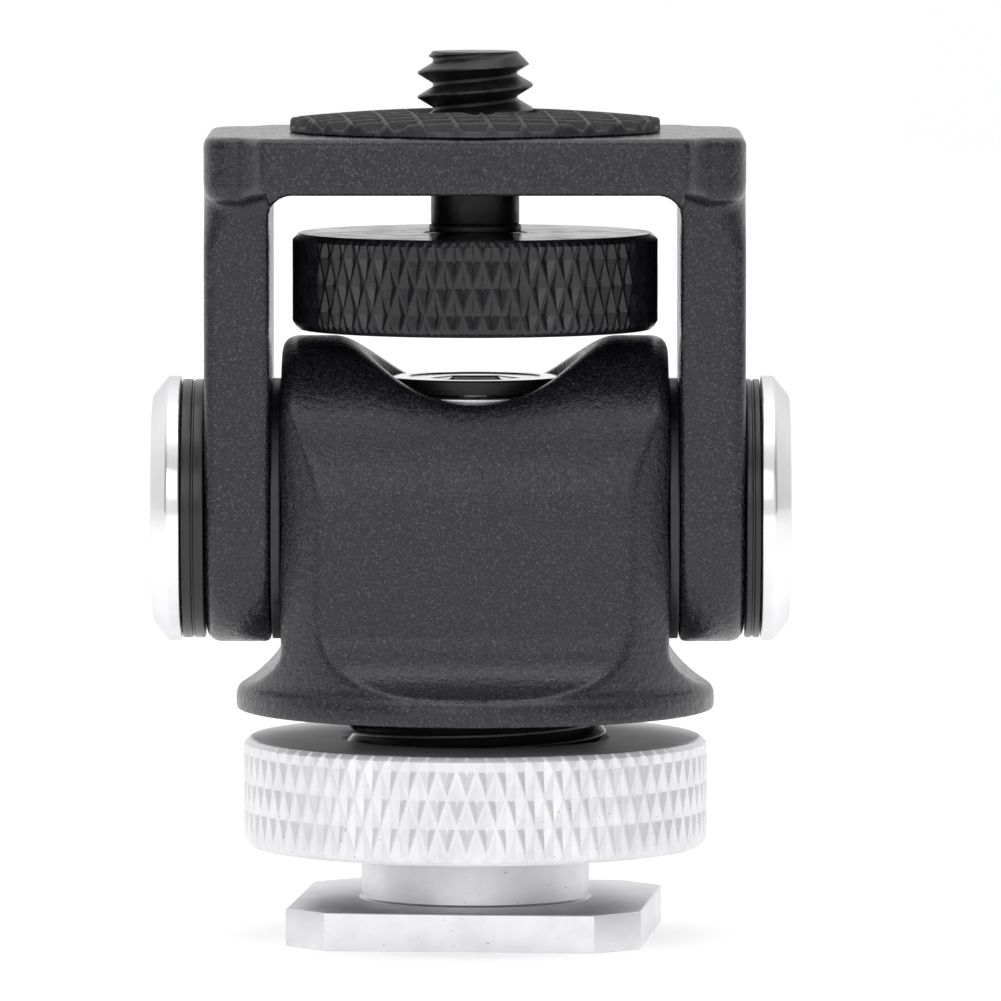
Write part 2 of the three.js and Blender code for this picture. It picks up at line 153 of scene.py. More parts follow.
def hexagon(across_flats, height, segments):
    """A hexagonal ring with as many points as a round one; every sixth of them holds one corner."""
    t = np.arange(segments) * 2 * math.pi / segments
    nearest = (t + math.pi / 6) % (math.pi / 3) - math.pi / 6
    r = across_flats / 2 / np.cos(nearest)
    return np.stack([r * np.sin(t), -r * np.cos(t), np.full(segments, height)], axis=1)


def socket_rings(face_z, across_flats, depth, segments):
    """Rings that carry a flat face into a key socket, with a small lead-in and a drilled floor."""
    lead = 0.12
    mouth_r = across_flats / 2 * 1.19 + lead  # just clear of the hexagon's corners
    drill_r, tip_r, tip_deep = across_flats * 0.36, across_flats * 0.05, 0.6
    floor_z = face_z - depth
    return [
        circle(mouth_r, face_z, segments),
        hexagon(across_flats + lead, face_z - 0.02, segments),
        hexagon(across_flats, face_z - lead, segments),
        hexagon(across_flats, floor_z, segments),
        circle(drill_r, floor_z, segments),
        circle(tip_r, floor_z - tip_deep, segments),
    ]


def along_tilt_axis(points, side):
    """Turns points made about Z so that their axis is the tilt axis, pointing outwards on one side."""
    p = np.asarray(points)
    return np.stack([side * p[:, 2], side * p[:, 0], TILT_Z + p[:, 1]], axis=1)


def smooth_max(a, b, k):
    """The larger of two fields, with their crossing rounded over a width of about k."""
    h = np.maximum(k - np.abs(a - b), 0) / k
    return np.maximum(a, b) + h * h * k * 0.25


def smooth_min(a, b, k):
    """The smaller of two fields, rounded in the same way."""
    return -smooth_max(-a, -b, k)


def skin_of(field, low, crest_highlight, step):
    """Meshes the zero surface of a field that is negative inside the shape, and fits the points to it."""
    low, crest_highlight = np.array(low, dtype=float), np.array(crest_highlight, dtype=float)
    axes = [np.arange(a, b + step, step) for a, b in zip(low, crest_highlight)]
    x, y, z = np.meshgrid(*axes, indexing="ij", sparse=True)
    values = np.ascontiguousarray(np.broadcast_to(field(x, y, z), [len(a) for a in axes]), dtype=np.float32)
    grid = openvdb.FloatGrid(3 * step)
    grid.copyFromArray(values)
    points, quads = grid.convertToQuads(isovalue=0.0)
    points = low + points.astype(float) * step
    nudge, least_slope, furthest = 0.02, 0.2, 0.4 * step
    for _ in range(2):
        gradient = []
        for axis in range(3):
            shift = np.zeros(3)
            shift[axis] = nudge
            ahead, behind = points + shift, points - shift
            gradient.append((field(*ahead.T) - field(*behind.T)) / (2 * nudge))
        gradient = np.stack(gradient, axis=1)
        slope = np.maximum((gradient**2).sum(axis=1), least_slope)[:, None]
        move = field(*points.T)[:, None] * gradient / slope
        points -= np.clip(move, -furthest, furthest)
    a, b, c = points[quads[:, 0]], points[quads[:, 1]], points[quads[:, 2]]
    volume_sign = np.einsum("ij,ij->i", a, np.cross(b, c)).sum()
    if volume_sign < 0:
        quads = quads[:, ::-1]
    return points, quads.tolist()


# ------------------------------------------------------------------ materials
def material(name, colour, roughness, metallic=0.0):
    """A plain material, returned with its node tree and its shader, so that detail can be added."""
    made = bpy.data.materials.new(name)
    made.use_nodes = True
    shader = made.node_tree.nodes["Principled BSDF"]
    shader.inputs["Base Color"].default_value = (*colour, 1)
    shader.inputs["Roughness"].default_value = roughness
    shader.inputs["Metallic"].default_value = metallic
    return made, made.node_tree, shader


def place(tree, kind, **values):
    """Adds a node, with its inputs set by name."""
    node = tree.nodes.new(kind)
    for key, value in values.items():
        node.inputs[key.replace("_", " ")].default_value = value
    return node


def noise(tree, size_mm, detail=2.0, roughness=0.5, stretch=(1, 1, 1)):
    """Noise whose blotches are about this size, in the piece's own space."""
    where = tree.nodes.new("ShaderNodeTexCoord")
    scale = place(tree, "ShaderNodeMapping")
    scale.inputs["Scale"].default_value = stretch
    made = place(tree, "ShaderNodeTexNoise", Scale=1 / (size_mm * MM), Detail=detail, Roughness=roughness)
    tree.links.new(where.outputs["Object"], scale.inputs["Vector"])
    tree.links.new(scale.outputs["Vector"], made.inputs["Vector"])
    return made.outputs["Fac"]


def ramp(tree, source, stops):
    """A colour ramp over a value; stops are (position, grey or colour)."""
    node = tree.nodes.new("ShaderNodeValToRGB")
    while len(node.color_ramp.elements) < len(stops):
        node.color_ramp.elements.new(0.5)
    for element, (position, value) in zip(node.color_ramp.elements, stops):
        element.position = position
        element.color = (*value, 1) if isinstance(value, tuple) else (value, value, value, 1)
    tree.links.new(source, node.inputs["Fac"])
    return node.outputs["Color"]


def overlaid(tree, lower, colour, factor):
    """One colour laid over another as far as the factor says."""
    node = tree.nodes.new("ShaderNodeMix")
    node.data_type = "RGBA"
    node.inputs["B"].default_value = (*colour, 1)
    tree.links.new(factor, node.inputs["Factor"])
    tree.links.new(lower, node.inputs["A"])
    return node.outputs["Result"]


def bump(tree, shader, heights, depth_mm, strength=1.0):
    """Adds relief of this depth to the shader, on top of any it has."""
    node = place(tree, "ShaderNodeBump", Strength=strength, Distance=depth_mm * MM)
    tree.links.new(heights, node.inputs["Height"])
    normal = shader.inputs["Normal"]
    if normal.is_linked:
        tree.links.new(normal.links[0].from_socket, node.inputs["Normal"])
    tree.links.new(node.outputs["Normal"], normal)


def turning_lines(tree, pitch_mm, about="z", offset=(0, 0, 0)):
    """Fine rings left by a lathe: bands in the distance from the axis and along it."""
    where = tree.nodes.new("ShaderNodeTexCoord")
    shift = place(tree, "ShaderNodeMapping")
    shift.inputs["Location"].default_value = tuple(-v * MM for v in offset)
    parts = tree.nodes.new("ShaderNodeSeparateXYZ")
    tree.links.new(where.outputs["Object"], shift.inputs["Vector"])
    tree.links.new(shift.outputs["Vector"], parts.inputs["Vector"])
    names = {"z": ("X", "Y", "Z"), "x": ("Y", "Z", "X")}[about]
    squares = []
    for axis in names[:2]:
        square = tree.nodes.new("ShaderNodeMath")
        square.operation = "POWER"
        square.inputs[1].default_value = 2
        tree.links.new(parts.outputs[axis], square.inputs[0])
        squares.append(square.outputs[0])
    total = tree.nodes.new("ShaderNodeMath")
    total.operation = "ADD"
    tree.links.new(squares[0], total.inputs[0])
    tree.links.new(squares[1], total.inputs[1])
    radius = tree.nodes.new("ShaderNodeMath")
    radius.operation = "SQRT"
    tree.links.new(total.outputs[0], radius.inputs[0])
    pair = tree.nodes.new("ShaderNodeCombineXYZ")
    tree.links.new(radius.outputs[0], pair.inputs[0])
    tree.links.new(parts.outputs[names[2]], pair.inputs[1])
    rings = place(tree, "ShaderNodeTexNoise", Scale=1 / (pitch_mm * MM), Detail=1.0)
    tree.links.new(pair.outputs[0], rings.inputs["Vector"])
    return rings.outputs["Fac"]


def powder_coat():
    """Black powder coat: a leathery skin with fine pale flecks, glossier at a low angle."""
    made, tree, shader = material("black_powder_coat", (0.012, 0.0118, 0.0165), 0.3)
    grain = noise(tree, 0.13, detail=3.0, roughness=0.65)
    pebble = noise(tree, 0.4, detail=3.0, roughness=0.6)
    fleck = noise(tree, 0.11, detail=1.0)
    dark, light, pale = (0.0015, 0.0015, 0.004), (0.020, 0.0195, 0.027), (0.07, 0.069, 0.076)
    colour = ramp(tree, grain, [(0.36, dark), (0.62, light)])
    flecked = overlaid(tree, colour, pale, ramp(tree, fleck, [(0.58, 0.0), (0.72, 1.0)]))
    tree.links.new(flecked, shader.inputs["Base Color"])
    tree.links.new(ramp(tree, pebble, [(0.3, 0.18), (0.7, 0.34)]), shader.inputs["Roughness"])
    bump(tree, shader, grain, 0.02, 0.8)
    bump(tree, shader, pebble, 0.07, 0.8)
    return made


def black_anodised():
    """Turned aluminium, black and slightly glossy."""
    made, tree, shader = material("black_anodised", (0.012, 0.012, 0.013), 0.2)
    lines = turning_lines(tree, 0.12)
    grime = noise(tree, 1.3, detail=4.0)
    tree.links.new(ramp(tree, grime, [(0.35, 0.14), (0.7, 0.26)]), shader.inputs["Roughness"])
    tree.links.new(
        ramp(tree, noise(tree, 0.3, 3.0), [(0.4, (0.006, 0.006, 0.008)), (0.75, (0.018, 0.018, 0.020))]),
        shader.inputs["Base Color"],
    )
    bump(tree, shader, lines, 0.003, 0.4)
    return made


def black_ring():
    """The glossy black rings of the tilt axis, with turning lines round that axis."""
    made, tree, shader = material("black_ring", (0.011, 0.011, 0.012), 0.26)
    lines = turning_lines(tree, 0.09, "x", (0, 0, TILT_Z))
    tree.links.new(ramp(tree, lines, [(0.3, 0.2), (0.7, 0.36)]), shader.inputs["Roughness"])
    tree.links.new(ramp(tree, lines, [(0.35, 0.009), (0.7, 0.022)]), shader.inputs["Base Color"])
    bump(tree, shader, lines, 0.006, 0.7)
    return made


def oxide_steel():
    """Black oxide screws."""
    made, tree, shader = material("black_oxide_steel", (0.03, 0.03, 0.032), 0.34, 0.7)
    bloom = noise(tree, 0.7, detail=4.0)
    tree.links.new(ramp(tree, bloom, [(0.3, 0.26), (0.75, 0.5)]), shader.inputs["Roughness"])
    dark, light = (0.022, 0.022, 0.024), (0.05, 0.048, 0.046)
    tree.links.new(ramp(tree, bloom, [(0.3, dark), (0.8, light)]), shader.inputs["Base Color"])
    bump(tree, shader, noise(tree, 0.1, 2.0), 0.004, 0.5)
    return made


def satin_silver():
    """Silver anodised aluminium with a fine satin grain and a few dark nicks."""
    made, tree, shader = material("satin_silver", (0.84, 0.84, 0.855), 0.46, 1.0)
    grain = noise(tree, 0.07, detail=2.0)
    cloud = noise(tree, 1.6, detail=4.0)
    nick = noise(tree, 0.22, detail=1.0)
    colour = ramp(tree, cloud, [(0.35, (0.80, 0.80, 0.82)), (0.7, (0.88, 0.88, 0.892))])
    nicked = overlaid(tree, colour, (0.5, 0.49, 0.5), ramp(tree, nick, [(0.74, 0.0), (0.79, 1.0)]))
    tree.links.new(nicked, shader.inputs["Base Color"])
    tree.links.new(ramp(tree, grain, [(0.3, 0.40), (0.7, 0.52)]), shader.inputs["Roughness"])
    bump(tree, shader, grain, 0.006, 0.6)
    bump(tree, shader, turning_lines(tree, 0.15), 0.005, 0.5)
    return made


def chrome(name, about, offset=(0, 0, 0), edge=0.72, relief=0.006):
    """Bright chrome over a turned surface; edge is how bright it stays at a low angle."""
    made, tree, shader = material(name, (0.86, 0.86, 0.87), 0.09, 1.0)
    lines = turning_lines(tree, 0.07, about, offset)
    tree.links.new(ramp(tree, lines, [(0.3, 0.07), (0.75, 0.18)]), shader.inputs["Roughness"])
    tree.links.new(
        ramp(tree, noise(tree, 3.0, 3.0), [(0.3, (0.82, 0.82, 0.835)), (0.7, (0.90, 0.90, 0.905))]),
        shader.inputs["Base Color"],
    )
    shader.inputs["Specular Tint"].default_value = (edge, edge, edge * 1.01, 1)
    bump(tree, shader, lines, relief, 0.6)
    return made


def rubber():
    """Moulded black rubber, matt and faintly mottled, with a pale painted highlight on what stands highest.
    """
    made, tree, shader = material("moulded_rubber", (0.01, 0.01, 0.011), 0.6)
    dust = noise(tree, 0.5, detail=5.0, roughness=0.65)
    geometry = tree.nodes.new("ShaderNodeNewGeometry")
    # painted highlight: the most convex skin, the ridge crests, is picked out by its pointiness
    crest_highlight = ramp(tree, geometry.outputs["Pointiness"], [(0.49, 0.0), (0.57, 1.0)])
    colour = ramp(tree, dust, [(0.3, (0.008, 0.008, 0.009)), (0.75, (0.018, 0.018, 0.02))])
    # the pale grey laid over the crests here is the painted highlight
    tree.links.new(overlaid(tree, colour, (0.06, 0.06, 0.064), crest_highlight), shader.inputs["Base Color"])
    tree.links.new(ramp(tree, dust, [(0.3, 0.55), (0.7, 0.8)]), shader.inputs["Roughness"])
    bump(tree, shader, dust, 0.03, 0.5)
    return made


def plain_plastic(name, dark, light, roughness):
    """Moulded plastic with faint mottling."""
    made, tree, shader = material(name, dark, roughness)
    cloud = noise(tree, 0.6, detail=4.0)
    tree.links.new(ramp(tree, cloud, [(0.3, dark), (0.75, light)]), shader.inputs["Base Color"])
    uneven = ramp(tree, cloud, [(0.3, roughness - 0.08), (0.7, roughness + 0.08)])
    tree.links.new(uneven, shader.inputs["Roughness"])
    bump(tree, shader, noise(tree, 0.2, 2.0), 0.01, 0.4)
    return made


def bare_metal(name, dark, light, roughness, about="z", offset=(0, 0, 0)):
    """Turned bare metal."""
    made, tree, shader = material(name, dark, roughness, 1.0)
    lines = turning_lines(tree, 0.1, about, offset)
    tree.links.new(ramp(tree, lines, [(0.3, dark), (0.7, light)]), shader.inputs["Base Color"])
    uneven = ramp(tree, lines, [(0.3, roughness - 0.07), (0.7, roughness + 0.1)])
    tree.links.new(uneven, shader.inputs["Roughness"])
    bump(tree, shader, lines, 0.005, 0.6)
    return made


TILT_AXIS = (0, 0, TILT_Z)
coat = powder_coat()
anodised = black_anodised()
ring_black = black_ring()
oxide = oxide_steel()
silver = satin_silver()
cap_chrome = chrome("cap_chrome", "x", TILT_AXIS, edge=0.8)
bolt_chrome = chrome("bolt_chrome", "z", edge=0.95, relief=0.0015)
pad_rubber = rubber()
acetal = plain_plastic("black_acetal", (0.012, 0.012, 0.013), (0.03, 0.03, 0.031), 0.42)
nylon = plain_plastic("natural_nylon", (0.66, 0.64, 0.58), (0.78, 0.76, 0.71), 0.5)
brass = bare_metal("turned_brass", (0.62, 0.44, 0.18), (0.80, 0.62, 0.32), 0.26)
steel = bare_metal("spring_steel", (0.55, 0.56, 0.58), (0.74, 0.75, 0.77), 0.22)


# ------------------------------------------------------------------ cast pieces
FACE_DEPTH = 9.1  # half the body's thickness at its flat faces
BODY_R = 12.2
SIDE_X = 10.12
BUSH_SEAT_R = 4.05  # the bore that the bushes of the pan and tilt axes sit in


def rounded_box_2d(u, v, radius):
    """Distance to a quarter plane u < 0, v < 0 with its corner rounded."""
    a, b = u + radius, v + radius
    return np.minimum(np.maximum(a, b), 0) + np.hypot(np.maximum(a, 0), np.maximum(b, 0)) - radius


def body_field(x, y, z):
    """The swivel body: a round column with coved flats, a V saddle on top and a round rim below."""
    ax, ay, r = np.abs(x), np.abs(y), np.hypot(x, y)
    bottom, rim_r, rim_top = body_low[2], body_high[0], 13.2
    cove_r, cove_top = 3.6, 17.0
    drop = np.clip(cove_top - z, 0, cove_r * 0.98)
    reach = np.sqrt(cove_r**2 - drop**2)
    flat = (ay - (FACE_DEPTH + cove_r - reach)) * reach / cove_r
    faces = np.where(z > TILT_Z, np.hypot(y, z - TILT_Z) - FACE_DEPTH, flat)
    spread, side_top, side_fall = 0.4, 15.5, 2.6
    fall = np.clip(side_top - z, 0, side_fall)
    sides = (ax - (SIDE_X + spread * fall**2)) / np.sqrt(1 + (2 * spread * fall) ** 2)
    upper = smooth_max(smooth_max(faces, sides, 1.0), r - BODY_R, 0.25)
    upper = np.maximum(upper, bottom + 0.4 - z)
    rim = smooth_max(smooth_max(r - rim_r, z - rim_top, 0.5), bottom - z, 0.25)
    shape = smooth_min(upper, rim, 0.5)
    valley_r, valley_floor, slope = 7.4, 28.33, math.radians(37)
    touch = valley_r * math.sin(slope)
    bowl = valley_floor + valley_r - np.sqrt(valley_r**2 - np.minimum(ax, touch) ** 2)
    saddle = bowl + np.maximum(ax - touch, 0) * math.tan(slope)
    lean = np.where(ax < touch, np.sqrt(1 - (np.minimum(ax, touch) / valley_r) ** 2), math.cos(slope))
    shape = smooth_max(shape, (z - saddle) * lean, 0.4)
    seat_z, seat_r = spring_low[2] - 0.05, 5.6
    shape = smooth_max(shape, -np.maximum(r - seat_r, seat_z - z), 0.15)
    shape = np.maximum(shape, BUSH_SEAT_R - r)
    pocket_r, pocket_top = 7.2, thrust_top + 0.05
    shape = np.maximum(shape, -np.maximum(r - pocket_r, z - pocket_top))
    insert_r, insert_from = 3.1, 5.1
    insert_seat = np.hypot(y, z - TILT_Z)
    return np.maximum(shape, -np.maximum(insert_seat - insert_r, insert_from - ax))


def yoke_field(x, y, z):
    """The yoke: a top plate with stepped-back ends that curve down into two round-ended arms."""
    ax, ay = np.abs(x), np.abs(y)
    inner_x, outer_x, top, arm_r = 10.7, yoke_high[0], yoke_high[2], 7.0
    under, screw_hole_r = top - 2.95, 2.75
    mid_depth, end_depth, ease_from, ease_to = yoke_high[1], 8.2, 10.8, 12.3
    t = np.clip((ax - ease_from) / (ease_to - ease_from), 0, 1)
    depth = mid_depth + (end_depth - mid_depth) * t * t * (3 - 2 * t)
    slope = (end_depth - mid_depth) * 6 * t * (1 - t) / (ease_to - ease_from)
    plate = (ay - depth) / np.sqrt(1 + slope**2)
    # the shoulder's lower edge drops outwards; over the window the window alone cuts the underside
    bend_x, fall, lowest = 12.2, 0.33, 37.0
    inner_shelf = under - fall * np.clip(ax - inner_x, 0, bend_x - inner_x)
    bend = np.clip((ax - bend_x) / (outer_x - bend_x), 0, 1)
    bend_top = under - fall * (bend_x - inner_x)
    shelf = np.where(ax > bend_x, lowest + (bend_top - lowest) * np.sqrt(1 - bend**2 * 0.995), inner_shelf)
    shelf = np.where(ax < inner_x, under - 1, shelf)
    plate = smooth_max(plate, (shelf - z) * 0.8, 0.7)
    arm = np.where(z > TILT_Z, ay, np.hypot(y, z - TILT_Z)) - arm_r
    front = smooth_min(plate, arm, 0.8)
    corner = 0.9 + 1.3 * np.clip((z - 36.5) / 2, 0, 1)  # the plate's ends are rounder than the arms' edges
    shape = smooth_max(front, ax - outer_x, corner)
    shape = smooth_max(shape, z - top, 0.55)
    window = rounded_box_2d(ax - inner_x, z - under, 1.25)
    shape = smooth_max(shape, -window, 0.4)
    shape = np.maximum(shape, BUSH_SEAT_R - np.hypot(y, z - TILT_Z))
    nowhere = -9  # so far inside that it cuts nothing
    return np.maximum(shape, np.where(z > under - 2, screw_hole_r - np.hypot(x, y), nowhere))


def pad_field(x, y, z):
    """The rubber pad: a low crown that carries a square grid of ridges."""
    r = np.hypot(x, y)
    rim_r, hole_r = pad_high[0], 3.6
    floor_z, crown, ridge, pitch, base = pad_low[2], 0.5, 0.38, 1.75, 0.28
    turn = math.radians(5)
    u = x * math.cos(turn) + y * math.sin(turn)
    v = y * math.cos(turn) - x * math.sin(turn)
    away_u = np.abs((u / pitch + 0.5) % 1 - 0.5) * pitch
    away_v = np.abs((v / pitch + 0.5) % 1 - 0.5) * pitch
    away = np.minimum(away_u, away_v)
    wall, land = 0.34, 0.07
    relief = np.clip((wall - away) / (wall - land), 0, 1)
    top = floor_z + base + crown * (1 - (r / rim_r) ** 2) + ridge * relief
    on_wall, on_flat = 0.54, 0.99  # the share of a rise that counts as distance, by how steep the skin is
    lid = (z - top) * np.where((relief > 0) & (relief < 1), on_wall, on_flat)
    shape = smooth_max(lid, r - rim_r, 0.12)
    shape = smooth_max(shape, floor_z - z, 0.06)
    return smooth_max(shape, hole_r - r, 0.12)


def cast_pieces():
    """The yoke, the swivel body and the rubber pad."""
    step, margin, pad_margin = 0.16, 0.5, 0.3
    points, faces = skin_of(body_field, body_low - margin, body_high + margin, step)
    add_piece("body_casting", points, faces, "swivel", ["swivel_body"], coat, 60)
    points, faces = skin_of(yoke_field, yoke_low - margin, yoke_high + margin, step)
    add_piece("yoke_casting", points, faces, "tilt_yoke", ["yoke"], coat, 60)
    pad_top = np.array([pad_high[0], pad_high[1], pad_high[2] + 0.6])  # the ridges stand above the CAD pad
    points, faces = skin_of(pad_field, pad_low - pad_margin, pad_top + pad_margin, step * 0.6)
    add_piece("ribbed_pad", points, faces, "tilt_yoke", ["top_pad"], pad_rubber, 40)


# ------------------------------------------------------------------ knurled pieces
def knurled(radius, bottom, top, chamfer, count, half_row, row_z, front_turn, depth, inside):
    """A disc with a crossed knurl round its rim; inside is the rest of its profile, from top to bottom."""
    m = 6  # steps between the middle of a diamond and its corner
    columns = 2 * count * m
    pit_shape = np.array([0, 0.07, 0.28, 0.5, 0.72, 0.92, 1.0])
    first = math.ceil((bottom - row_z) / (half_row / m) + 0.3)
    last = math.floor((top - row_z) / (half_row / m) - 0.3)
    rows = np.arange(first, last + 1)
    j = np.concatenate([[first - 1], rows, [last + 1]])
    z = np.clip(row_z + j * half_row / m, bottom, top)
    i = np.arange(columns)
    theta = front_turn + i * math.pi / count / m
    a = (i[None, :] + j[:, None]) / (2 * m)
    b = (i[None, :] - j[:, None]) / (2 * m)
    ridge_a = 1 - np.abs(2 * (a % 1) - 1)
    ridge_b = 1 - np.abs(2 * (b % 1) - 1)
    pit = np.interp(np.minimum(ridge_a, ridge_b), np.linspace(0, 1, m + 1), pit_shape)
    cone = radius - np.maximum(chamfer - np.minimum(z - bottom, top - z), 0)[:, None]
    r = np.minimum(radius - depth * pit, cone)
    rings = np.stack([r * np.sin(theta), -r * np.cos(theta), np.broadcast_to(z[:, None], r.shape)], axis=2)
    points = [rings.reshape(-1, 3)]
    faces = []
    for row in range(len(z) - 1):
        for column in range(columns):
            p, q = row * columns + column, row * columns + (column + 1) % columns
            s, t = p + columns, q + columns
            if (column // m + int(math.floor(j[row] / m))) % 2 == 0:
                faces += [(p, q, t), (p, t, s)]
            else:
                faces += [(p, q, s), (q, t, s)]
    around = theta[None, :]
    profile = np.array(inside)
    rest = np.stack(
        [
            profile[:, :1] * np.sin(around),
            -profile[:, :1] * np.cos(around),
            np.broadcast_to(profile[:, 1:2], (len(profile), columns)),
        ],
        axis=2,
    )
    base = len(z) * columns
    points.append(rest.reshape(-1, 3))
    order = [(len(z) - 1) * columns] + [base + k * columns for k in range(len(profile))] + [0]
    for low, crest_highlight in zip(order, order[1:]):
        faces += [
            (low + c, low + (c + 1) % columns, crest_highlight + (c + 1) % columns, crest_highlight + c) for c in range(columns)
        ]
    return np.concatenate(points), faces


def knurled_pieces():
    """The clamp disc and the thumb wheel."""
    radius, bottom, top = disc_high[0], disc_low[2], disc_high[2]
    bore_r, seat_r, seat_deep, edge_in, face_in = 7.05, 9.45, 0.6, 0.42, 0.9
    inside = filleted(
        [
            (radius - edge_in, top),
            (radius - face_in, top),
            (bore_r, top, 0.25),
            (bore_r, bottom + seat_deep, 0.1),
            (seat_r, bottom + seat_deep, 0.05),
            (seat_r, bottom, 0.15),
            (radius - face_in, bottom),
            (radius - edge_in, bottom),
        ],
        0,
        closed=False,
        steps=3,
    )
    rim = dict(chamfer=0.35, count=75, half_row=1.49, row_z=8.2, front_turn=0.0496, depth=0.17)
    points, faces = knurled(radius, bottom, top, inside=inside, **rim)
    add_piece("knurled_disc", points, faces, "clamp_ring", ["clamp_disc"], silver, 12)
    radius, bottom, top = wheel_high[0], wheel_low[2], wheel_high[2]
    bore_r, edge_in, face_in = 2.75, 0.4, 0.8
    inside = filleted(
        [
            (radius - edge_in, top),
            (radius - face_in, top),
            (bore_r, top, 0.1),
            (bore_r, bottom, 0.2),
            (radius - face_in, bottom),
            (radius - edge_in, bottom),
        ],
        0,
        closed=False,
        steps=3,
    )
    rim = dict(chamfer=0.35, count=60, half_row=1.42, row_z=34.54, front_turn=-0.0098, depth=0.25)
    points, faces = knurled(radius, bottom, top, inside=inside, **rim)
    add_piece("knurled_wheel", points, faces, "thumbscrew", ["thumb_wheel"], anodised, 12)


# ------------------------------------------------------------------ threaded pieces
def thread_depth(theta, z, pitch, crest_z):
    """Depth of a right-hand thread below its crest, 0 to 1; a crest passes the left side at crest_z."""
    left = theta + math.pi / 2  # theta runs from the front towards the right
    phase = ((z - crest_z) / pitch - left / (2 * math.pi)) % 1
    away = 2 * np.minimum(phase, 1 - phase)
    crest_flat, flank = 0.09, 0.76  # shares of half a pitch
    return np.clip((away - crest_flat) / flank, 0, 1)


def threaded_rings(major, minor, pitch, low, crest_highlight, crest_z, limit, segments=144, per_turn=30):
    """Rings of a threaded stretch; limit(z) is the radius that it never stands proud of."""
    z = np.linspace(low, crest_highlight, int(math.ceil((crest_highlight - low) / pitch * per_turn)) + 1)
    theta = np.arange(segments) * 2 * math.pi / segments
    deep = thread_depth(theta[None, :], z[:, None], pitch, crest_z)
    r = np.minimum(major - (major - minor) * deep, limit(z)[:, None])
    return np.stack([r * np.sin(theta), -r * np.cos(theta), np.broadcast_to(z[:, None], r.shape)], axis=2)


def threaded_pieces():
    """The camera screw and the collar that the clamp disc runs on."""
    segments = 144
    top, thread_from = screw_high[2], yoke_high[2] + 0.05
    lead, run_in, minor, major, pitch = 0.85, 0.45, 2.22, screw_high[0], 1.27
    spigot_r, neck_r, shank_r, crest_z = 2.65, 2.0, 2.32, 44.12
    wheel_top, neck_top = wheel_high[2], ring_high[2] + 0.03

    def limit(z):
        from_top = minor + np.clip((top - z) / lead, 0, 1) * (major - minor)
        from_root = shank_r + np.clip((z - thread_from) / run_in, 0, 1) * (major - shank_r)
        return np.minimum(from_top, from_root)

    shank = filleted(
        [
            (spigot_r, screw_low[2], 0.1),
            (spigot_r, wheel_top - 0.05),
            (neck_r, wheel_top - 0.05),
            (neck_r, neck_top),
            (shank_r, neck_top, 0.08),
            (shank_r, thread_from - 0.05),
        ],
        0,
        closed=False,
        steps=3,
    )
    rings = [circle(r, z, segments) for r, z in shank]
    rings += list(threaded_rings(major, minor, pitch, thread_from, top, crest_z, limit, segments))
    rings.append(circle(minor - 0.12, top, segments))
    points, faces = bridged(rings, cap_first=True, cap_last=True)
    add_piece("threaded_screw", points, faces, "thumbscrew", ["camera_screw"], oxide, 50)

    low, crest_highlight, bore_r = collar_low[2], collar_high[2], 4.9
    edge, major, minor, pitch = 0.35, 6.9, 6.42, 1.25

    def collar_limit(z):
        return major - np.maximum(edge - np.minimum(z - low, crest_highlight - z), 0)

    rings = [circle(bore_r, crest_highlight, segments), circle(bore_r, low, segments), circle(minor, low, segments)]
    rings += list(threaded_rings(major, minor, pitch, low, crest_highlight, low, collar_limit, segments, 24))
    rings.append(circle(minor, crest_highlight, segments))
    points, faces = bridged(rings, closed=True)
    add_piece("turned_collar", points, faces, "shoe", ["thread_collar"], anodised, 50)


# ------------------------------------------------------------------ tilt pivots
def tilt_extent(node):
    """How near the middle and how far out a node on the tilt axis reaches, and its radius."""
    low, crest_highlight = box_mm(node)
    near, far = sorted((abs(low[0]), abs(crest_highlight[0])))
    return near, far, (crest_highlight[2] - low[2]) / 2


def cap_skin(near, far, r):
    """A cap with a rim, a sloping edge and a recess for the screw's head."""
    bore_r, recess_r, face_r = 2.75, 3.85, r - 1.05
    rim = near + 0.7
    recess_floor = rim - 0.05
    outline = [
        (bore_r, near, 0.03),
        (r, near, 0.12),
        (r, rim, 0.3),
        (face_r, far, 0.35),
        (recess_r, far, 0.12),
        (recess_r, recess_floor, 0.05),
        (bore_r, recess_floor, 0.03),
    ]
    return turned(filleted(outline, 0.1, steps=6), 160)


def spacer_skin(near, far, r):
    """A ring with a fine groove round the middle of its edge."""
    bore_r, middle = 4.65, (near + far) / 2
    groove_r, mouth, floor = r - 0.08, 0.09, 0.04
    outline = [
        (bore_r, near, 0.05),
        (r, near, 0.1),
        (r, middle - mouth, 0.02),
        (groove_r, middle - floor, 0.02),
        (groove_r, middle + floor, 0.02),
        (r, middle + mouth, 0.02),
        (r, far, 0.1),
        (bore_r, far, 0.05),
    ]
    return turned(filleted(outline, 0.05, steps=4), 144)


def friction_washer_skin(near, far):
    """A plain plastic washer."""
    bore_r, edge_r = 4.15, 6.85
    return turned(filleted([(bore_r, near), (edge_r, near), (edge_r, far), (bore_r, far)], 0.08), 128)


def tilt_screw_skin(near, far):
    """A screw with a low head and a key socket."""
    segments, across_flats, socket_deep = 96, 3.0, 1.8
    tip_r, thread_r, neck_r, neck_from = 1.6, 2.0, 2.6, 10.3
    head_r, head_from = 3.65, far - 0.76
    outline = [
        (tip_r, near),
        (thread_r, near + 0.4),
        (thread_r, neck_from),
        (neck_r, neck_from, 0.05),
        (neck_r, head_from),
        (head_r, head_from, 0.08),
        (head_r, far, 0.22),
        (2.5, far),
    ]
    rings = [circle(r, z, segments) for r, z in filleted(outline, 0, closed=False)]
    rings += socket_rings(far, across_flats, socket_deep, segments)
    return bridged(rings, cap_first=True, cap_last=True)


def add_at_pivot(side, name, skin, node, look, crease=35.0):
    """Adds one piece of the tilt axis from a skin made about Z."""
    points, faces = skin
    add_piece(name, along_tilt_axis(points, side), faces, "swivel", [node], look, crease)


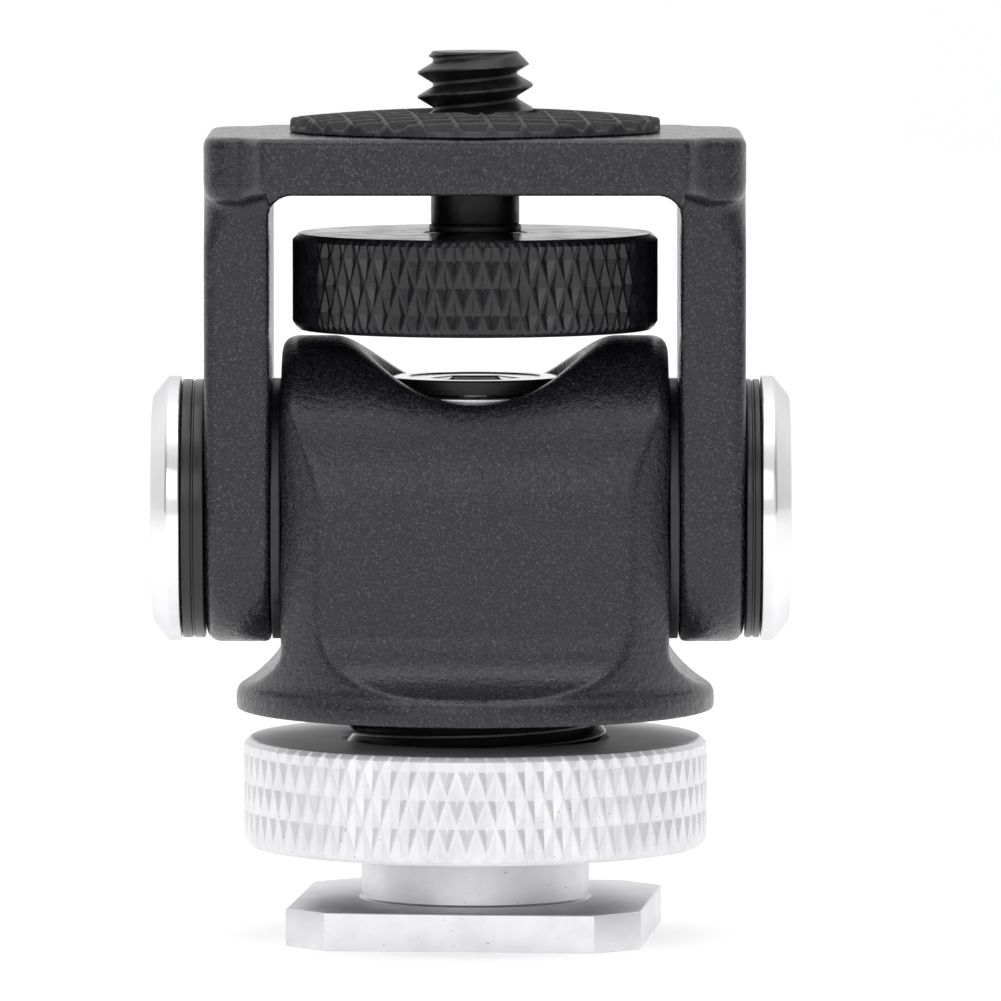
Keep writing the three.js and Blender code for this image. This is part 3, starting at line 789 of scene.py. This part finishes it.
def pivot_pieces():
    """Caps, black rings, washers and screws at both ends of the tilt axis."""
    for side, end in ((1, "right"), (-1, "left")):
        node = f"{end}_cap"
        skin = cap_skin(*tilt_extent(node))
        add_at_pivot(side, f"{end}_chrome_cap", skin, node, cap_chrome, 40)

        node = f"{end}_spacer_ring"
        skin = spacer_skin(*tilt_extent(node))
        add_at_pivot(side, f"{end}_black_ring", skin, node, ring_black)

        node = f"{end}_inner_washer"
        near, far, _ = tilt_extent(node)
        skin = friction_washer_skin(near, far)
        add_at_pivot(side, f"{end}_friction_washer", skin, node, acetal)

        node = f"{end}_tilt_screw"
        near, far, _ = tilt_extent(node)
        skin = tilt_screw_skin(near, far)
        add_at_pivot(side, f"{end}_socket_screw", skin, node, oxide)


# ------------------------------------------------------------------ shoe foot, bolt and washers
def octagon_ring(half_x, half_y, chamfer, height):
    """The foot's plan as a ring of eight points, anticlockwise from above."""
    corners = []
    for sx, sy in ((1, -1), (1, 1), (-1, 1), (-1, -1)):
        near = (sx * (half_x - chamfer), sy * half_y)
        far = (sx * half_x, sy * (half_y - chamfer))
        corners += [near, far] if sx * sy < 0 else [far, near]
    return np.array([(x, y, height) for x, y in corners])


def foot_points():
    """The foot's plate, its shank and the spigot inside the collar."""
    half_x, half_y, chamfer, thick, soft = 9.3, 9.0, 2.25, 2.0, 0.13
    rings = []
    for angle in np.linspace(0, math.pi / 2, 4):
        inset = soft * (1 - math.sin(angle))
        height = soft * (1 - math.cos(angle))
        rings.append(octagon_ring(half_x - inset, half_y - inset, chamfer - 0.4 * inset, height))
    for angle in np.linspace(0, math.pi / 2, 4):
        inset = soft * (1 - math.cos(angle))
        height = thick - soft + soft * math.sin(angle)
        rings.append(octagon_ring(half_x - inset, half_y - inset, chamfer - 0.4 * inset, height))
    plate, plate_faces = bridged(rings, cap_first=True, cap_last=True)
    shank_r, root_r, spigot_r, bore_r = 6.0, 6.0 + 0.12, 4.8, 3.0
    sunk, shank_top, spigot_top, bore_floor = 0.3, 5.0, 11.95, 5.5
    outline = filleted(
        [
            (shank_r - 0.5, thick - sunk),
            (root_r, thick - sunk),
            (root_r, thick + 0.02),
            (shank_r, thick + 0.14, 0.1),
            (shank_r, shank_top, 0.15),
            (spigot_r, shank_top, 0.05),
            (spigot_r, spigot_top, 0.2),
            (bore_r, spigot_top, 0.1),
            (bore_r, bore_floor, 0.1),
            (bore_r - 0.1, bore_floor),
        ],
        0.02,
        closed=False,
    )
    stem, stem_faces = turned(outline, 128, closed=False)
    c, s = math.cos(FOOT_TURN), math.sin(FOOT_TURN)
    turn = np.array([[c, -s], [s, c]])
    plate[:, :2] = plate[:, :2] @ turn.T
    shifted = [tuple(i + len(plate) for i in face) for face in stem_faces]
    return np.concatenate([plate, stem]), plate_faces + shifted


def small_pieces():
    """The foot, the pan bolt, its spring washer and the ring round the screw's neck."""
    points, faces = foot_points()
    add_piece("machined_foot", points, faces, "shoe", ["shoe_foot"], silver, 28)

    segments, across_flats, socket_deep = 120, 4.0, 1.8
    head_r, head_low, head_top, shank_r = bolt_high[0], 28.7, bolt_high[2], 2.9
    ring_in, face_z = 3.6, head_top - 0.07
    outline = filleted(
        [
            (shank_r - 0.5, bolt_low[2]),
            (shank_r, bolt_low[2] + 0.5),
            (shank_r, head_low),
            (head_r, head_low, 0.06),
            (head_r, head_top, 0.14),
            (ring_in, head_top, 0.05),
            (3.52, face_z, 0.03),
            (2.9, face_z),
        ],
        0,
        closed=False,
    )
    rings = [circle(a, b, segments) for a, b in outline]
    rings += socket_rings(face_z, across_flats, socket_deep, segments)
    points, faces = bridged(rings, cap_first=True, cap_last=True)
    bolt = add_piece("chrome_bolt", points, faces, "shoe", ["pan_bolt"], bolt_chrome)
    bolt.data.materials.append(oxide)  # the head is polished on top and left black round its side
    side_from, steepest = 0.9 * head_r * MM, 0.6
    for face in bolt.data.polygons:
        upright = abs(face.normal.z) < steepest
        face.material_index = 1 if upright and face.center.xy.length > side_from else 0

    thick, bore_r = 0.35, 3.1
    cone = filleted(
        [
            (bore_r, spring_high[2] - thick),
            (spring_high[0], spring_low[2]),
            (spring_high[0], spring_low[2] + thick),
            (bore_r, spring_high[2]),
        ],
        0.06,
    )
    points, faces = turned(cone)
    add_piece("cone_washer", points, faces, "shoe", ["pan_spring_washer"], steel)

    bore_r = 2.08
    ring = filleted(
        [
            (bore_r, ring_low[2]),
            (ring_high[0], ring_low[2]),
            (ring_high[0], ring_high[2]),
            (bore_r, ring_high[2]),
        ],
        0.1,
    )
    points, faces = turned(ring, 96)
    add_piece("neck_ring", points, faces, "thumbscrew_lift_ring", ["buffer_ring"], acetal)


def dress_kept_nodes():
    """Gives the CAD nodes that stay visible their own materials."""
    looks = {
        "brass": brass,
        "white_nylon": nylon,
        "spring_steel": steel,
        "black_acetal": acetal,
    }
    for row in frame["record"]["subparts"]:
        node = frame["nodes"][row["node"]]
        if node.hide_render:
            continue
        look = looks.get(row["material_slot"], silver)
        node.data.materials.clear()
        node.data.materials.append(look)


cast_pieces()
knurled_pieces()
threaded_pieces()
pivot_pieces()
small_pieces()
dress_kept_nodes()


# ------------------------------------------------------------------ floor, light and camera
def studio():
    """A pale floor that glows faintly, a white surround and two large, dim softboxes."""
    floor_material, tree, shader = material("pale_floor", (0.7, 0.7, 0.7), 0.6)
    tree.links.new(
        ramp(tree, noise(tree, 60, 2.0), [(0.3, (0.69, 0.69, 0.69)), (0.7, (0.71, 0.71, 0.71))]),
        shader.inputs["Base Color"],
    )
    # the glow is strongest in a band that runs under the object, and falls off to its left and right
    where = tree.nodes.new("ShaderNodeTexCoord")
    parts = tree.nodes.new("ShaderNodeSeparateXYZ")
    away = tree.nodes.new("ShaderNodeMath")
    away.operation = "ABSOLUTE"
    tree.links.new(where.outputs["Object"], parts.inputs["Vector"])
    tree.links.new(parts.outputs["X"], away.inputs[0])
    tree.links.new(ramp(tree, away.outputs[0], [(0.08, 0.42), (0.3, 0.25)]), shader.inputs["Emission Color"])
    shader.inputs["Emission Strength"].default_value = 1.0
    half = 1.0
    mesh = bpy.data.meshes.new("studio_floor")
    corners = [(-half, -half, 0), (half, -half, 0), (half, half, 0), (-half, half, 0)]
    mesh.from_pydata(corners, [], [(0, 1, 2, 3)])
    mesh.materials.append(floor_material)
    floor = bpy.data.objects.new("studio_floor", mesh)
    bpy.context.scene.collection.objects.link(floor)
    surround()

    def soft_light(name, place_mm, aim_mm, size_mm, watts):
        data = bpy.data.lights.new(name, "AREA")
        data.shape = "RECTANGLE"
        data.size, data.size_y = size_mm[0] * MM, size_mm[1] * MM
        data.energy = watts
        lamp = bpy.data.objects.new(name, data)
        lamp.location = Vector(place_mm) * MM
        lamp.rotation_mode = "QUATERNION"
        lamp.rotation_quaternion = (Vector(aim_mm) - Vector(place_mm)).to_track_quat("-Z", "Y")
        bpy.context.scene.collection.objects.link(lamp)

    soft_light("front_softbox", (-160, -640, 330), (0, 0, 25), (480, 300), 0.5)
    soft_light("top_softbox", (0, -30, 420), (0, 0, 25), (400, 300), 0.42)


def surround():
    """White behind the object and overhead, dimmer at the sides and to the right, lit in front."""
    world = bpy.data.worlds.new("white_surround")
    world.use_nodes = True
    tree = world.node_tree
    background = tree.nodes["Background"]
    background.inputs["Strength"].default_value = 1.0
    where = tree.nodes.new("ShaderNodeTexCoord")
    parts = tree.nodes.new("ShaderNodeSeparateXYZ")
    tree.links.new(where.outputs["Generated"], parts.inputs["Vector"])
    ahead = tree.nodes.new("ShaderNodeMath")
    ahead.operation = "MULTIPLY_ADD"
    ahead.inputs[1].default_value, ahead.inputs[2].default_value = -0.5, 0.5
    tree.links.new(parts.outputs["Y"], ahead.inputs[0])
    # from behind, 0, to the front, 1: white, then a darker band on each side, then a lit front
    stops = [(0.2, 1.0), (0.44, 0.76), (0.54, 0.48), (0.78, 0.38), (0.93, 0.86)]
    around = ramp(tree, ahead.outputs[0], stops)
    to_right = ramp(tree, parts.outputs["X"], [(0.0, 1.0), (1.0, 0.0)])
    falloff = tree.nodes.new("ShaderNodeMath")
    falloff.operation = "MULTIPLY_ADD"
    falloff.inputs[1].default_value, falloff.inputs[2].default_value = 0.15, 0.85
    tree.links.new(to_right, falloff.inputs[0])
    evened = tree.nodes.new("ShaderNodeVectorMath")
    evened.operation = "SCALE"
    tree.links.new(around, evened.inputs[0])
    tree.links.new(falloff.outputs[0], evened.inputs["Scale"])
    above = ramp(tree, parts.outputs["Z"], [(0.6, 0.0), (0.9, 1.0)])
    overhead = (1.1, 1.1, 1.1)
    tree.links.new(overlaid(tree, evened.outputs["Vector"], overhead, above), background.inputs["Color"])
    bpy.context.scene.world = world


def camera():
    """The camera, a little above the object's middle and well back."""
    data = bpy.data.cameras.new("main_camera")
    data.lens, data.sensor_width = 410.4, 36
    data.clip_start, data.clip_end = 0.01, 10
    seen = bpy.data.objects.new("main_camera", data)
    aim = Vector((1.33, 0, 22.9)) * MM
    distance, height = 0.6, math.radians(4.1)
    back = Vector((0, -math.cos(height), math.sin(height)))
    seen.location = aim + back * distance
    seen.rotation_mode = "QUATERNION"
    seen.rotation_quaternion = (-back).to_track_quat("-Z", "Y")
    bpy.context.scene.collection.objects.link(seen)
    bpy.context.scene.camera = seen


studio()
camera()
bpy.context.scene.view_settings.view_transform = "Standard"
